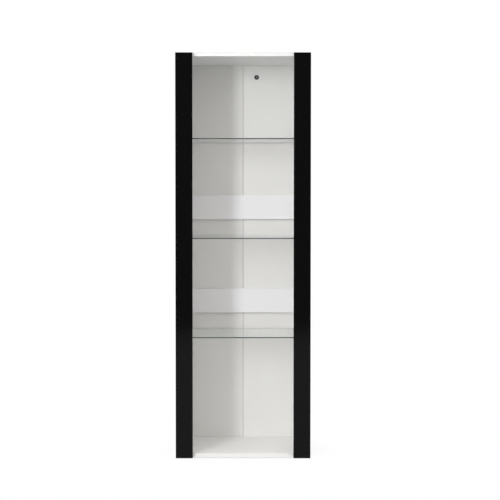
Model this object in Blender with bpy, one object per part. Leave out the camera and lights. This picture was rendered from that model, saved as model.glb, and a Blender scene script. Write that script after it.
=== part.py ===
"""Tall display cabinet with one glazed door, standing on the floor.

Metres, +Z up. The origin is on the floor under the middle of the cabinet. The door faces -Y, and its
hinges are on the -X side. The carcass is of coated board, with a thin back in two halves, two cross
rails and three glass shelves on pins. The door is a clear pane held in two upright stiles.
"""

import math

import bmesh
import bpy
from mathutils import Matrix, Vector

# Overall size
OVERALL_WIDTH = 0.600
OVERALL_DEPTH = 0.400
OVERALL_HEIGHT = 1.800

# Gaps
FIT = 0.0003
PIN_PLAY = 0.0002
SHELF_SIDE_PLAY = 0.002
SEAM_GAP = 0.001

# Carcass boards
BOARD = 0.016
BOARD_EDGE = 0.0006
BACK_BOARD = 0.0025
BACK_INSET = 0.003
TAPE_WIDTH = 0.030
TAPE_THICKNESS = 0.0005
RAIL_HEIGHT = 0.113
RAIL_OVER_SHELF = 0.0815

# Floor glides
GLIDE_HEIGHT = 0.004
GLIDE_RADIUS = 0.0075
GLIDE_CHAMFER = 0.001
GLIDE_INSET = 0.016

# Glass shelves and the pins under them
SHELF_THICKNESS = 0.005
SHELF_SETBACK = 0.006
SHELF_BACK_PLAY = 0.003
FIRST_SHELF = 0.535
SHELF_PITCH = 0.442
SHELF_NAMES = ("lower", "middle", "upper")
PIN_RADIUS = 0.0025
PIN_DEPTH = 0.008
PIN_REACH = 0.009
PIN_COLLAR_RADIUS = 0.0042
PIN_COLLAR = 0.0015
PIN_END_INSET = 0.055

# Cable grommet in the right half of the back
GROMMET_OFFSET = 0.0645
GROMMET_DROP = 0.071
GROMMET_FLANGE_RADIUS = 0.011
GROMMET_FLANGE = 0.0015
GROMMET_HUB_RADIUS = 0.0075
GROMMET_BORE_RADIUS = 0.0035

# Door
DOOR_THICKNESS = 0.018
DOOR_GAP = 0.004
DOOR_REVEAL = 0.001
DOOR_FOOT_CLEARANCE = 0.003
DOOR_HEAD_CLEARANCE = 0.0015
STILE_WIDTH = 0.075
STILE_SWING_ROUND = 0.004
STILE_EDGE_ROUND = 0.001
PANE = 0.004
GROOVE_DEPTH = 0.010
SEAL_WALL = 0.001
SEAL_PROUD = 0.0004
BUMPER_RADIUS = 0.004
BUMPER_END_INSET = 0.030

# Concealed hinges
HINGE_END_DISTANCE = 0.107
HINGE_OVER_SHELF = 0.142
PIVOT_FROM_EDGE = 0.009
PIVOT_FROM_BACK = 0.007
HINGE_PIN_RADIUS = 0.0015
EYE_RADIUS = 0.0032
CUP_RADIUS = 0.0175
CUP_DEPTH = 0.012
CUP_WALL = 0.001
CUP_FROM_EDGE = 0.0035
FLANGE_THICKNESS = 0.001
FLANGE_HALF_LENGTH = 0.031
FLANGE_HALF_WIDTH = 0.010
LUG_PLAY = 0.0018
LUG_HALF_WIDTH = 0.003
LUG_SETBACK = 0.002
ARM_HALF_WIDTH = 0.006
ARM_STRIP = 0.0025
ARM_STRIP_CENTRE = 0.0001
NECK_OFFSET = 0.013
NECK_LENGTH = 0.018
ARM_BODY = 0.0074
ARM_LENGTH = 0.060
PLATE_THICKNESS = 0.003
PLATE_START = 0.022
PLATE_RAIL_HALF_WIDTH = 0.007
SCREW_LINE = 0.037
WING_HALF_WIDTH = 0.008
WING_HALF_LENGTH = 0.024

# Push latch on the opening side
LATCH_UNDER_SHELF = 0.077
LATCH_BODY = 0.012
LATCH_HALF_HEIGHT = 0.007
LATCH_SETBACK = 0.002
LATCH_LENGTH = 0.062
LATCH_EAR = 0.0025
LATCH_EAR_HALF_HEIGHT = 0.018
LATCH_EAR_INSET = 0.014
LATCH_BORE_DEPTH = 0.034
PLUNGER_RADIUS = 0.003
PLUNGER_LENGTH = 0.033
STRIKE_RADIUS = 0.008
STRIKE_THICKNESS = 0.001

# Facets round a turned piece
FINE_STEPS = 32
STEPS = 16
CORNER_STEPS = 3

# Planes that several pieces share
SIDE_OUTER = OVERALL_WIDTH / 2
SIDE_INNER = SIDE_OUTER - BOARD
DOOR_FRONT = -OVERALL_DEPTH / 2
DOOR_BACK = DOOR_FRONT + DOOR_THICKNESS
CARCASS_FRONT = DOOR_BACK + DOOR_GAP
TAPE_FRONT = OVERALL_DEPTH / 2 - TAPE_THICKNESS
BACK_REAR = TAPE_FRONT - FIT
BACK_FRONT = BACK_REAR - BACK_BOARD
CARCASS_REAR = BACK_FRONT - FIT
CARCASS_FOOT = GLIDE_HEIGHT
INNER_HEAD = OVERALL_HEIGHT - BOARD
INNER_FOOT = CARCASS_FOOT + BOARD
DOOR_EDGE = SIDE_OUTER - DOOR_REVEAL
DOOR_FOOT = DOOR_FOOT_CLEARANCE
DOOR_HEAD = OVERALL_HEIGHT - DOOR_HEAD_CLEARANCE
STILE_INNER = DOOR_EDGE - STILE_WIDTH
PANE_MIDDLE = DOOR_FRONT + DOOR_THICKNESS / 2
SHELF_HEIGHTS = tuple(FIRST_SHELF + SHELF_PITCH * step for step in range(len(SHELF_NAMES)))
PIVOT = Vector((-DOOR_EDGE + PIVOT_FROM_EDGE, DOOR_BACK - PIVOT_FROM_BACK, 0))
HINGE_HEIGHTS = (
    DOOR_FOOT + HINGE_END_DISTANCE,
    SHELF_HEIGHTS[0] + HINGE_OVER_SHELF,
    SHELF_HEIGHTS[1] + HINGE_OVER_SHELF,
    DOOR_HEAD - HINGE_END_DISTANCE,
)
LATCH_HEIGHT = SHELF_HEIGHTS[1] - LATCH_UNDER_SHELF
CUP_OFFSET = CUP_FROM_EDGE + CUP_RADIUS - PIVOT_FROM_EDGE
CUP_FLOOR = CUP_DEPTH - CUP_WALL - PIVOT_FROM_BACK
HINGE_PIN_HALF_LENGTH = math.sqrt((CUP_RADIUS - CUP_WALL) ** 2 - CUP_OFFSET**2) - FIT

# Turns that lay a piece made along Z along another axis
ALONG_X = Matrix.Rotation(math.radians(90), 4, "Y")
ALONG_MINUS_Y = Matrix.Rotation(math.radians(90), 4, "X")
ALONG_Y = Matrix.Rotation(math.radians(-90), 4, "X")


def clear_scene():
    for obj in list(bpy.data.objects):
        bpy.data.objects.remove(obj, do_unlink=True)


def finish(name, colour, roughness, metallic=0.0, alpha=1.0):
    material = bpy.data.materials.new(name)
    material.use_nodes = True
    shader = material.node_tree.nodes["Principled BSDF"]
    shader.inputs["Base Color"].default_value = (*colour, 1.0)
    shader.inputs["Roughness"].default_value = roughness
    shader.inputs["Metallic"].default_value = metallic
    shader.inputs["Alpha"].default_value = alpha
    return material


def make_finishes():
    return {
        "white_board": finish("white_board", (0.80, 0.80, 0.79), 0.45),
        "white_back": finish("white_back", (0.78, 0.78, 0.77), 0.5),
        "black_gloss": finish("black_gloss", (0.005, 0.005, 0.006), 0.08),
        "clear_glass": finish("clear_glass", (0.85, 0.93, 0.90), 0.02, alpha=0.3),
        "nickel": finish("nickel", (0.62, 0.61, 0.58), 0.3, metallic=1.0),
        "black_plastic": finish("black_plastic", (0.02, 0.02, 0.02), 0.4),
        "grey_plastic": finish("grey_plastic", (0.35, 0.35, 0.36), 0.5),
        "clear_rubber": finish("clear_rubber", (0.75, 0.75, 0.73), 0.5),
        "tape": finish("tape", (0.55, 0.45, 0.30), 0.6),
    }


# Shapes ------------------------------------------------------------------------------------------


def mesh_from(name, bm):
    bmesh.ops.recalc_face_normals(bm, faces=bm.faces)
    mesh = bpy.data.meshes.new(name)
    bm.to_mesh(mesh)
    bm.free()
    return mesh


def place(name, mesh, material, location=(0, 0, 0), parent=None, turn=None):
    """Puts a mesh in the scene as an object. Under a parent, its location is still the room's."""
    obj = bpy.data.objects.new(name, mesh)
    bpy.context.scene.collection.objects.link(obj)
    if not mesh.materials:
        mesh.materials.append(material)
    obj.location = location
    if turn is not None:
        obj.rotation_euler = turn.to_euler()
    if parent is not None:
        obj.parent = parent
        obj.location = Vector(location) - parent.location
    return obj


def axis_empty(name, location):
    empty = bpy.data.objects.new(name, None)
    bpy.context.scene.collection.objects.link(empty)
    empty.location = location
    return empty


def block(name, low, high, edge=0.0):
    """A box between two corners, as a mesh about its own middle, with its edges eased."""
    size = Vector(high) - Vector(low)
    bm = bmesh.new()
    bmesh.ops.create_cube(bm, size=1)
    bmesh.ops.scale(bm, vec=size, verts=bm.verts)
    if edge:
        bmesh.ops.bevel(bm, geom=bm.edges[:], offset=edge, segments=1, affect="EDGES")
    return mesh_from(name, bm)


def board(name, low, high, material, parent=None, edge=BOARD_EDGE):
    middle = (Vector(low) + Vector(high)) / 2
    return place(name, block(name, low, high, edge), material, middle, parent)


def prism(name, outline, low, high):
    """An outline in X and Y, drawn up from one height to another."""
    bm = bmesh.new()
    face = bm.faces.new([bm.verts.new((x, y, low)) for x, y in outline])
    made = bmesh.ops.extrude_face_region(bm, geom=[face])["geom"]
    lifted = [item for item in made if isinstance(item, bmesh.types.BMVert)]
    bmesh.ops.translate(bm, verts=lifted, vec=(0, 0, high - low))
    return mesh_from(name, bm)


def turned(name, profile, steps=STEPS, ring=False, sharp=40):
    """Radii and heights turned about Z. A ring's profile is a loop, and any other's ends on the axis."""
    bm = bmesh.new()
    verts = [bm.verts.new((radius, 0, height)) for radius, height in profile]
    pairs = list(zip(verts, verts[1:]))
    if ring:
        pairs.append((verts[-1], verts[0]))
    edges = [bm.edges.new(pair) for pair in pairs]
    bmesh.ops.spin(
        bm,
        geom=verts + edges,
        cent=(0, 0, 0),
        axis=(0, 0, 1),
        angle=math.tau,
        steps=steps,
        use_merge=True,
    )
    bmesh.ops.remove_doubles(bm, verts=bm.verts, dist=1e-6)
    bmesh.ops.dissolve_degenerate(bm, edges=bm.edges, dist=1e-7)
    mesh = mesh_from(name, bm)
    mesh.shade_smooth()
    mesh.set_sharp_from_angle(angle=math.radians(sharp))
    return mesh


def rod(name, radius, low, high, steps=STEPS):
    return turned(name, [(0, low), (radius, low), (radius, high), (0, high)], steps)


def moved(mesh, location=(0, 0, 0), turn=None):
    """Turns a mesh about its own origin, then shifts it."""
    if turn is not None:
        mesh.transform(turn)
    mesh.transform(Matrix.Translation(location))
    return mesh


def combine(mesh, other, operation):
    """The mesh after a Boolean with another, which is used up."""
    name = mesh.name
    base = place(name, mesh, None)
    tool = place(name + "_tool", other, None)
    modifier = base.modifiers.new(operation.lower(), "BOOLEAN")
    modifier.operation = operation
    modifier.object = tool
    graph = bpy.context.evaluated_depsgraph_get()
    result = bpy.data.meshes.new_from_object(base.evaluated_get(graph))
    bpy.data.objects.remove(base)
    bpy.data.objects.remove(tool)
    result.materials.clear()
    result.name = name
    return result


def cut(mesh, *cutters):
    for cutter in cutters:
        mesh = combine(mesh, cutter, "DIFFERENCE")
    return mesh


def join(mesh, *others):
    for other in others:
        mesh = combine(mesh, other, "UNION")
    return mesh


def corner(middle, radius, start, steps=CORNER_STEPS):
    """Points round a quarter turn, anticlockwise from an angle in degrees."""
    turns = [math.radians(start + 90 * step / steps) for step in range(steps + 1)]
    return [(middle[0] + radius * math.cos(turn), middle[1] + radius * math.sin(turn)) for turn in turns]


def mirrored(outline):
    return [(-x, y) for x, y in reversed(outline)]


# Carcass -----------------------------------------------------------------------------------------


def pin_places(height):
    """The front and rear pins under one shelf, as (name, Y, Z of the pin's axis)."""
    axis_height = height - FIT - PIN_RADIUS
    front = CARCASS_FRONT + SHELF_SETBACK + PIN_END_INSET
    rear = CARCASS_REAR - SHELF_BACK_PLAY - PIN_END_INSET
    return (("front", front, axis_height), ("rear", rear, axis_height))


def make_side_panels(finishes):
    low = (SIDE_INNER, CARCASS_FRONT, CARCASS_FOOT)
    high = (SIDE_OUTER, CARCASS_REAR, OVERALL_HEIGHT)
    middle = (Vector(low) + Vector(high)) / 2
    for name, side in (("left", -1), ("right", 1)):
        mesh = block("side_panel_" + name, low, high, BOARD_EDGE)
        inner_face = -side * BOARD / 2
        for height in SHELF_HEIGHTS:
            for _, pin_y, pin_z in pin_places(height):
                reach = PIN_DEPTH + FIT
                hole = rod("pin_hole", PIN_RADIUS + FIT, -reach, reach, steps=STEPS)
                hole_at = (inner_face, pin_y - middle.y, pin_z - middle.z)
                mesh = cut(mesh, moved(hole, hole_at, ALONG_X))
        place("side_panel_" + name, mesh, finishes["white_board"], (side * middle.x, middle.y, middle.z))


def make_cross_boards(finishes):
    reach = SIDE_INNER - FIT
    white = finishes["white_board"]
    board("top_panel", (-reach, CARCASS_FRONT, INNER_HEAD), (reach, CARCASS_REAR, OVERALL_HEIGHT), white)
    board("bottom_panel", (-reach, CARCASS_FRONT, CARCASS_FOOT), (reach, CARCASS_REAR, INNER_FOOT), white)
    for name, height in zip(("lower", "upper"), SHELF_HEIGHTS):
        foot = height + RAIL_OVER_SHELF
        low = (-reach, CARCASS_REAR - BOARD, foot)
        high = (reach, CARCASS_REAR, foot + RAIL_HEIGHT)
        board("cross_rail_" + name, low, high, white)


def make_back(finishes):
    foot = CARCASS_FOOT + BACK_INSET
    head = OVERALL_HEIGHT - BACK_INSET
    outer = SIDE_OUTER - BACK_INSET
    seam = SEAM_GAP / 2
    left_low = (-outer, BACK_FRONT, foot)
    left_high = (-seam, BACK_REAR, head)
    board("back_panel_left", left_low, left_high, finishes["white_back"], edge=0)

    low = Vector((seam, BACK_FRONT, foot))
    high = Vector((outer, BACK_REAR, head))
    middle = (low + high) / 2
    mesh = block("back_panel_right", low, high)
    hole = rod("cable_hole", GROMMET_HUB_RADIUS + FIT, -BACK_BOARD, BACK_BOARD, steps=STEPS)
    hole_at = (GROMMET_OFFSET - middle.x, 0, OVERALL_HEIGHT - GROMMET_DROP - middle.z)
    mesh = cut(mesh, moved(hole, hole_at, ALONG_Y))
    place("back_panel_right", mesh, finishes["white_back"], middle)

    tape = TAPE_WIDTH / 2
    rear = OVERALL_DEPTH / 2
    board("back_seam_tape", (-tape, TAPE_FRONT, foot), (tape, rear, head), finishes["tape"], edge=0)


def make_grommet(finishes):
    hub_length = FIT + BACK_BOARD
    profile = [
        (GROMMET_BORE_RADIUS, -hub_length),
        (GROMMET_HUB_RADIUS, -hub_length),
        (GROMMET_HUB_RADIUS, 0),
        (GROMMET_FLANGE_RADIUS, 0),
        (GROMMET_FLANGE_RADIUS, GROMMET_FLANGE / 2),
        (GROMMET_FLANGE_RADIUS - GROMMET_FLANGE / 2, GROMMET_FLANGE),
        (GROMMET_BORE_RADIUS, GROMMET_FLANGE),
    ]
    mesh = turned("cable_grommet", profile, ring=True)
    where = (GROMMET_OFFSET, BACK_FRONT - FIT, OVERALL_HEIGHT - GROMMET_DROP)
    place("cable_grommet", mesh, finishes["black_plastic"], where, turn=ALONG_MINUS_Y)


def make_glides(finishes):
    top = GLIDE_HEIGHT - FIT
    profile = [
        (0, 0),
        (GLIDE_RADIUS - GLIDE_CHAMFER, 0),
        (GLIDE_RADIUS, GLIDE_CHAMFER),
        (GLIDE_RADIUS, top),
        (0, top),
    ]
    mesh = turned("floor_glide", profile)
    ends = (("front", CARCASS_FRONT + GLIDE_INSET), ("rear", CARCASS_REAR - GLIDE_INSET))
    for side_name, side in (("left", -1), ("right", 1)):
        for end_name, y in ends:
            name = f"floor_glide_{end_name}_{side_name}"
            place(name, mesh, finishes["grey_plastic"], (side * (SIDE_OUTER - BOARD / 2), y, 0))


def make_shelves(finishes):
    reach = SIDE_INNER - SHELF_SIDE_PLAY
    front = CARCASS_FRONT + SHELF_SETBACK
    rear = CARCASS_REAR - SHELF_BACK_PLAY
    for name, height in zip(SHELF_NAMES, SHELF_HEIGHTS):
        low = (-reach, front, height)
        high = (reach, rear, height + SHELF_THICKNESS)
        board("glass_shelf_" + name, low, high, finishes["clear_glass"])


def make_shelf_pins(finishes):
    """Pins along +X whose collar stops on the left side. The right ones are the same, turned round."""
    collar_head = FIT + PIN_COLLAR
    profile = [
        (0, -PIN_DEPTH),
        (PIN_RADIUS, -PIN_DEPTH),
        (PIN_RADIUS, PIN_REACH),
        (0, PIN_REACH),
    ]
    shank = turned("shelf_pin", profile)
    collar_low = -PIN_COLLAR_RADIUS
    collar_size = ((FIT, collar_low, collar_low), (collar_head, PIN_COLLAR_RADIUS, PIN_RADIUS))
    collar = block("collar", *collar_size)
    collar_middle = (Vector(collar_size[0]) + Vector(collar_size[1])) / 2
    mesh = join(moved(shank, turn=ALONG_X), moved(collar, collar_middle))
    mesh.name = "shelf_pin"
    about_face = Matrix.Rotation(math.pi, 4, "Z")
    for shelf_name, height in zip(SHELF_NAMES, SHELF_HEIGHTS):
        for end_name, y, z in pin_places(height):
            name = f"shelf_pin_{shelf_name}_{end_name}_"
            place(name + "left", mesh, finishes["nickel"], (-SIDE_INNER, y, z))
            place(name + "right", mesh, finishes["nickel"], (SIDE_INNER, y, z), turn=about_face)


# Door --------------------------------------------------------------------------------------------


def stile_outline():
    """The left stile from above: outer edge left, front below, and a groove for the pane at the right."""
    outer = -DOOR_EDGE
    inner = -STILE_INNER
    ease = STILE_EDGE_ROUND
    swing = STILE_SWING_ROUND
    half_groove = PANE / 2 + FIT + SEAL_WALL + FIT
    groove_end = inner - GROOVE_DEPTH
    outline = corner((outer + ease, DOOR_FRONT + ease), ease, 180)
    outline += corner((inner - ease, DOOR_FRONT + ease), ease, 270)
    outline += [
        (inner, PANE_MIDDLE - half_groove),
        (groove_end, PANE_MIDDLE - half_groove),
        (groove_end, PANE_MIDDLE + half_groove),
        (inner, PANE_MIDDLE + half_groove),
    ]
    outline += corner((inner - ease, DOOR_BACK - ease), ease, 0)
    outline += corner((outer + swing, DOOR_BACK - swing), swing, 90)
    return outline


def seal_outline():
    """The left channel seal from above, open towards the pane."""
    groove_end = -STILE_INNER - GROOVE_DEPTH + FIT
    mouth = -STILE_INNER + SEAL_PROUD
    inner_half = PANE / 2 + FIT
    outer_half = inner_half + SEAL_WALL
    return [
        (groove_end, PANE_MIDDLE - outer_half),
        (mouth, PANE_MIDDLE - outer_half),
        (mouth, PANE_MIDDLE - inner_half),
        (groove_end + SEAL_WALL, PANE_MIDDLE - inner_half),
        (groove_end + SEAL_WALL, PANE_MIDDLE + inner_half),
        (mouth, PANE_MIDDLE + inner_half),
        (mouth, PANE_MIDDLE + outer_half),
        (groove_end, PANE_MIDDLE + outer_half),
    ]


def about_pivot(mesh):
    """A mesh drawn in the room's axes, shifted so that its origin is on the hinge axis."""
    return moved(mesh, -PIVOT)


def make_stiles(finishes, door):
    outline = stile_outline()
    left = prism("door_stile_left", outline, DOOR_FOOT, DOOR_HEAD)
    for height in HINGE_HEIGHTS:
        bore = across_cup("cup_bore", CUP_RADIUS + FIT, -CUP_RADIUS, CUP_FLOOR + CUP_WALL + FIT)
        left = cut(left, moved(bore, PIVOT + Vector((0, 0, height))))
    right = prism("door_stile_right", mirrored(outline), DOOR_FOOT, DOOR_HEAD)
    place("door_stile_left", about_pivot(left), finishes["black_gloss"], PIVOT, door)
    place("door_stile_right", about_pivot(right), finishes["black_gloss"], PIVOT, door)


def make_glazing(finishes, door):
    reach = STILE_INNER + GROOVE_DEPTH - FIT - SEAL_WALL - FIT
    low = (-reach, PANE_MIDDLE - PANE / 2, DOOR_FOOT)
    high = (reach, PANE_MIDDLE + PANE / 2, DOOR_HEAD)
    board("door_glass", low, high, finishes["clear_glass"], door, edge=BOARD_EDGE)
    for name, outline in (("left", seal_outline()), ("right", mirrored(seal_outline()))):
        mesh = prism("glazing_seal_" + name, outline, DOOR_FOOT, DOOR_HEAD)
        place("glazing_seal_" + name, about_pivot(mesh), finishes["black_plastic"], PIVOT, door)


def make_bumpers(finishes, door):
    """Soft pads on the back of the door that meet the front edge of the right side."""
    length = DOOR_GAP - 2 * FIT
    mesh = rod("door_bumper", BUMPER_RADIUS, 0, length)
    x = SIDE_OUTER - BOARD / 2
    ends = (("bottom", DOOR_FOOT + BUMPER_END_INSET), ("top", DOOR_HEAD - BUMPER_END_INSET))
    for name, z in ends:
        where = (x, DOOR_BACK + FIT, z)
        place("door_bumper_" + name, mesh, finishes["clear_rubber"], where, door, turn=ALONG_Y)


# Hinges ------------------------------------------------------------------------------------------


def across_cup(name, radius, low, high):
    """A disc about the cup's own axis, between two depths into the door from the pivot."""
    disc = rod(name, radius, low, high, FINE_STEPS)
    return moved(moved(disc, turn=ALONG_MINUS_Y), (CUP_OFFSET, 0, 0))


def hinge_cup():
    """A pressed cup with its mouth at the back of the door, and two lugs that hold the pin."""
    flange_foot = PIVOT_FROM_BACK + FIT
    flange_head = flange_foot + FLANGE_THICKNESS
    shell = across_cup("hinge_cup", CUP_RADIUS, -flange_head, CUP_FLOOR + CUP_WALL)
    flange_low = Vector((CUP_OFFSET - FLANGE_HALF_WIDTH, flange_foot, -FLANGE_HALF_LENGTH))
    flange_high = Vector((CUP_OFFSET + FLANGE_HALF_WIDTH, flange_head, FLANGE_HALF_LENGTH))
    flange = moved(block("flange", flange_low, flange_high), (flange_low + flange_high) / 2)
    hollow = across_cup("hollow", CUP_RADIUS - CUP_WALL, -flange_head - CUP_WALL, CUP_FLOOR)
    cup = cut(join(shell, flange), hollow)
    reach = HINGE_PIN_HALF_LENGTH + FIT
    pin_hole = rod("pin_hole", HINGE_PIN_RADIUS + PIN_PLAY, -reach, reach)
    cup = cut(join(cup, *cup_lugs()), pin_hole)
    cup.name = "hinge_cup"
    return cup


def cup_lugs():
    """Two blocks on the cup's floor, trimmed to sit in its wall."""
    lugs = []
    for side in (-1, 1):
        low = Vector((-LUG_HALF_WIDTH, -CUP_FLOOR - CUP_WALL / 2, ARM_HALF_WIDTH + LUG_PLAY))
        high = Vector((LUG_HALF_WIDTH, PIVOT_FROM_BACK - LUG_SETBACK, CUP_RADIUS))
        middle = (low + high) / 2
        middle.z *= side
        lug = moved(block("lug", low, high), middle)
        trim = across_cup("trim", CUP_RADIUS - CUP_WALL / 2, -CUP_RADIUS, CUP_RADIUS)
        lugs.append(combine(lug, trim, "INTERSECT"))
    return lugs


def hinge_arm():
    """The goose-necked arm: an eye on the pivot, a neck out of the cup, and a body over the plate."""
    strip = ARM_STRIP / 2
    low = ARM_STRIP_CENTRE - strip
    high = ARM_STRIP_CENTRE + strip
    neck_outer = NECK_OFFSET + ARM_STRIP
    side_face = DOOR_EDGE - SIDE_INNER - PIVOT_FROM_EDGE
    body_low = side_face + FIT + PLATE_THICKNESS + FIT
    body_high = body_low + ARM_BODY
    outline = [
        (0, low),
        (NECK_OFFSET, low),
        (neck_outer, low + ARM_STRIP),
        (neck_outer, NECK_LENGTH),
        (body_high, NECK_LENGTH + ARM_STRIP),
        (body_high, ARM_LENGTH),
        (body_low, ARM_LENGTH),
        (body_low, NECK_LENGTH + ARM_STRIP),
        (NECK_OFFSET, NECK_LENGTH),
        (NECK_OFFSET, high + strip),
        (NECK_OFFSET - strip, high),
        (0, high),
    ]
    strap = prism("hinge_arm", outline, -ARM_HALF_WIDTH, ARM_HALF_WIDTH)
    eye = rod("eye", EYE_RADIUS, -ARM_HALF_WIDTH, ARM_HALF_WIDTH)
    bore = rod("bore", HINGE_PIN_RADIUS + PIN_PLAY, -2 * ARM_HALF_WIDTH, 2 * ARM_HALF_WIDTH)
    arm = cut(join(strap, eye), bore)
    arm.name = "hinge_arm"
    return arm


def hinge_plate():
    """The cross-shaped plate that is screwed to the side, level with the cup."""
    side_face = DOOR_EDGE - SIDE_INNER - PIVOT_FROM_EDGE
    front_edge = CARCASS_FRONT - PIVOT.y
    wing_middle = front_edge + SCREW_LINE
    wing_front = wing_middle - WING_HALF_WIDTH
    wing_rear = wing_middle + WING_HALF_WIDTH
    outline = [
        (PLATE_START, -PLATE_RAIL_HALF_WIDTH),
        (wing_front, -PLATE_RAIL_HALF_WIDTH),
        (wing_front, -WING_HALF_LENGTH),
        (wing_rear, -WING_HALF_LENGTH),
        (wing_rear, -PLATE_RAIL_HALF_WIDTH),
        (ARM_LENGTH, -PLATE_RAIL_HALF_WIDTH),
        (ARM_LENGTH, PLATE_RAIL_HALF_WIDTH),
        (wing_rear, PLATE_RAIL_HALF_WIDTH),
        (wing_rear, WING_HALF_LENGTH),
        (wing_front, WING_HALF_LENGTH),
        (wing_front, PLATE_RAIL_HALF_WIDTH),
        (PLATE_START, PLATE_RAIL_HALF_WIDTH),
    ]
    low = side_face + FIT
    flat = prism("hinge_plate", outline, low, low + PLATE_THICKNESS)
    upright = Matrix(((0, 0, 1, 0), (1, 0, 0, 0), (0, 1, 0, 0), (0, 0, 0, 1)))
    flat.transform(upright)
    return flat


def make_hinges(finishes, door):
    nickel = finishes["nickel"]
    pin = rod("hinge_pin", HINGE_PIN_RADIUS, -HINGE_PIN_HALF_LENGTH, HINGE_PIN_HALF_LENGTH)
    cup = hinge_cup()
    arm = hinge_arm()
    plate = hinge_plate()
    for number, height in enumerate(HINGE_HEIGHTS, start=1):
        where = PIVOT + Vector((0, 0, height))
        name = f"hinge_{number}_"
        place(name + "cup", cup, nickel, where, door)
        place(name + "pin", pin, nickel, where, door)
        place(name + "arm", arm, nickel, where)
        place(name + "plate", plate, nickel, where)


# Push latch --------------------------------------------------------------------------------------


def latch_axis():
    """The plunger's axis: X and Z."""
    return SIDE_INNER - FIT - LATCH_BODY / 2, LATCH_HEIGHT


def make_latch_housing(finishes):
    x, z = latch_axis()
    face = SIDE_INNER - FIT
    front = CARCASS_FRONT + LATCH_SETBACK
    low = Vector((face - LATCH_BODY, front, z - LATCH_HALF_HEIGHT))
    high = Vector((face, front + LATCH_LENGTH, z + LATCH_HALF_HEIGHT))
    body = moved(block("latch_housing", low, high), (low + high) / 2)
    ear_low = Vector((face - LATCH_EAR, front + LATCH_EAR_INSET, z - LATCH_EAR_HALF_HEIGHT))
    ear_high = Vector((face, front + LATCH_LENGTH - LATCH_EAR_INSET, z + LATCH_EAR_HALF_HEIGHT))
    ears = moved(block("ears", ear_low, ear_high), (ear_low + ear_high) / 2)
    bore = rod("bore", PLUNGER_RADIUS + FIT, -LATCH_BORE_DEPTH, LATCH_BORE_DEPTH)
    bore = moved(bore, (x, front, z), ALONG_MINUS_Y)
    mesh = cut(join(body, ears), bore)
    place("latch_housing", moved(mesh, (-x, -front, -z)), finishes["grey_plastic"], (x, front, z))


def make_plunger(finishes):
    x, z = latch_axis()
    tip = DOOR_BACK + FIT + STRIKE_THICKNESS + FIT
    nose = PLUNGER_RADIUS / 3
    profile = [
        (0, -PLUNGER_LENGTH),
        (PLUNGER_RADIUS, -PLUNGER_LENGTH),
        (PLUNGER_RADIUS, -nose),
        (PLUNGER_RADIUS - nose, 0),
        (0, 0),
    ]
    mesh = turned("latch_plunger", profile)
    place("latch_plunger", mesh, finishes["black_plastic"], (x, tip, z), turn=ALONG_MINUS_Y)


def make_strike(finishes, door):
    x, z = latch_axis()
    mesh = rod("latch_strike_plate", STRIKE_RADIUS, 0, STRIKE_THICKNESS)
    place("latch_strike_plate", mesh, finishes["nickel"], (x, DOOR_BACK + FIT, z), door, turn=ALONG_Y)


def main():
    clear_scene()
    finishes = make_finishes()
    make_side_panels(finishes)
    make_cross_boards(finishes)
    make_back(finishes)
    make_grommet(finishes)
    make_glides(finishes)
    make_shelves(finishes)
    make_shelf_pins(finishes)
    make_latch_housing(finishes)
    make_plunger(finishes)
    door = axis_empty("door_axis", PIVOT)
    make_stiles(finishes, door)
    make_glazing(finishes, door)
    make_bumpers(finishes, door)
    make_strike(finishes, door)
    make_hinges(finishes, door)


main()
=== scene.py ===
"""Finish pieces, materials and studio for a tall display cabinet with one glazed door.

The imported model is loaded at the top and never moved. Each operator models one kind of piece at the place
that the model gives it, or sets up the studio. Metres, +Z up, and the door faces -Y.
"""

import math

import bmesh
import bpy
from mathutils import Matrix, Vector


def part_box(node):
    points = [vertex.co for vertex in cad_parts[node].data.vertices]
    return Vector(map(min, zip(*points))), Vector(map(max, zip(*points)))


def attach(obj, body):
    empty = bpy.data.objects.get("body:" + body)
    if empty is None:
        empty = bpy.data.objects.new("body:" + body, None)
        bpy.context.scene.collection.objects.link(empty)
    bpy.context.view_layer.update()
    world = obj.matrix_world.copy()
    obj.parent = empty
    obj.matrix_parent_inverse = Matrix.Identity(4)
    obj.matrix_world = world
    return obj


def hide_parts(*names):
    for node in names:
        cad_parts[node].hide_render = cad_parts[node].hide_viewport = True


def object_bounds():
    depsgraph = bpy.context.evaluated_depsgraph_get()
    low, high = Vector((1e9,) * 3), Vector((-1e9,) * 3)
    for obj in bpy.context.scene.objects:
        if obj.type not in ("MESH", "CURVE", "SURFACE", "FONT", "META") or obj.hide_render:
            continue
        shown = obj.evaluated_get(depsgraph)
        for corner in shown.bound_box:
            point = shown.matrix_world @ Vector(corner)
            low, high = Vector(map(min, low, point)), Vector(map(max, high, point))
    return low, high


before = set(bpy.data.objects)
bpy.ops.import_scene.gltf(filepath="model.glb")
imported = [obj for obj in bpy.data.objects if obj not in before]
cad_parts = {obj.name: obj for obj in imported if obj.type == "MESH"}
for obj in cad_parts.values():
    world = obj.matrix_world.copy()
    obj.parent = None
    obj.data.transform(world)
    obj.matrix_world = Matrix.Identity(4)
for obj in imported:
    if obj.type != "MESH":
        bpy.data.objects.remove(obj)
CAD_BOX = [list(corner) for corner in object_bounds()]

bl_info = {
    "name": "Glazed display cabinet",
    "version": (1, 0, 0),
    "blender": (4, 5, 0),
    "location": "3D View > Sidebar > Cabinet",
    "description": "Models and finishes the pieces of a tall display cabinet round its packed frame",
    "category": "Object",
}

X = Vector((1, 0, 0))
Y = Vector((0, 1, 0))
Z = Vector((0, 0, 1))
SHELVES = ("lower", "middle", "upper")
HINGES = (1, 2, 3, 4)
CORNERS = [(end, side) for end in ("front", "rear") for side in ("left", "right")]

# Sizes of the fittings, in metres
PLAY = 0.0003

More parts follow.
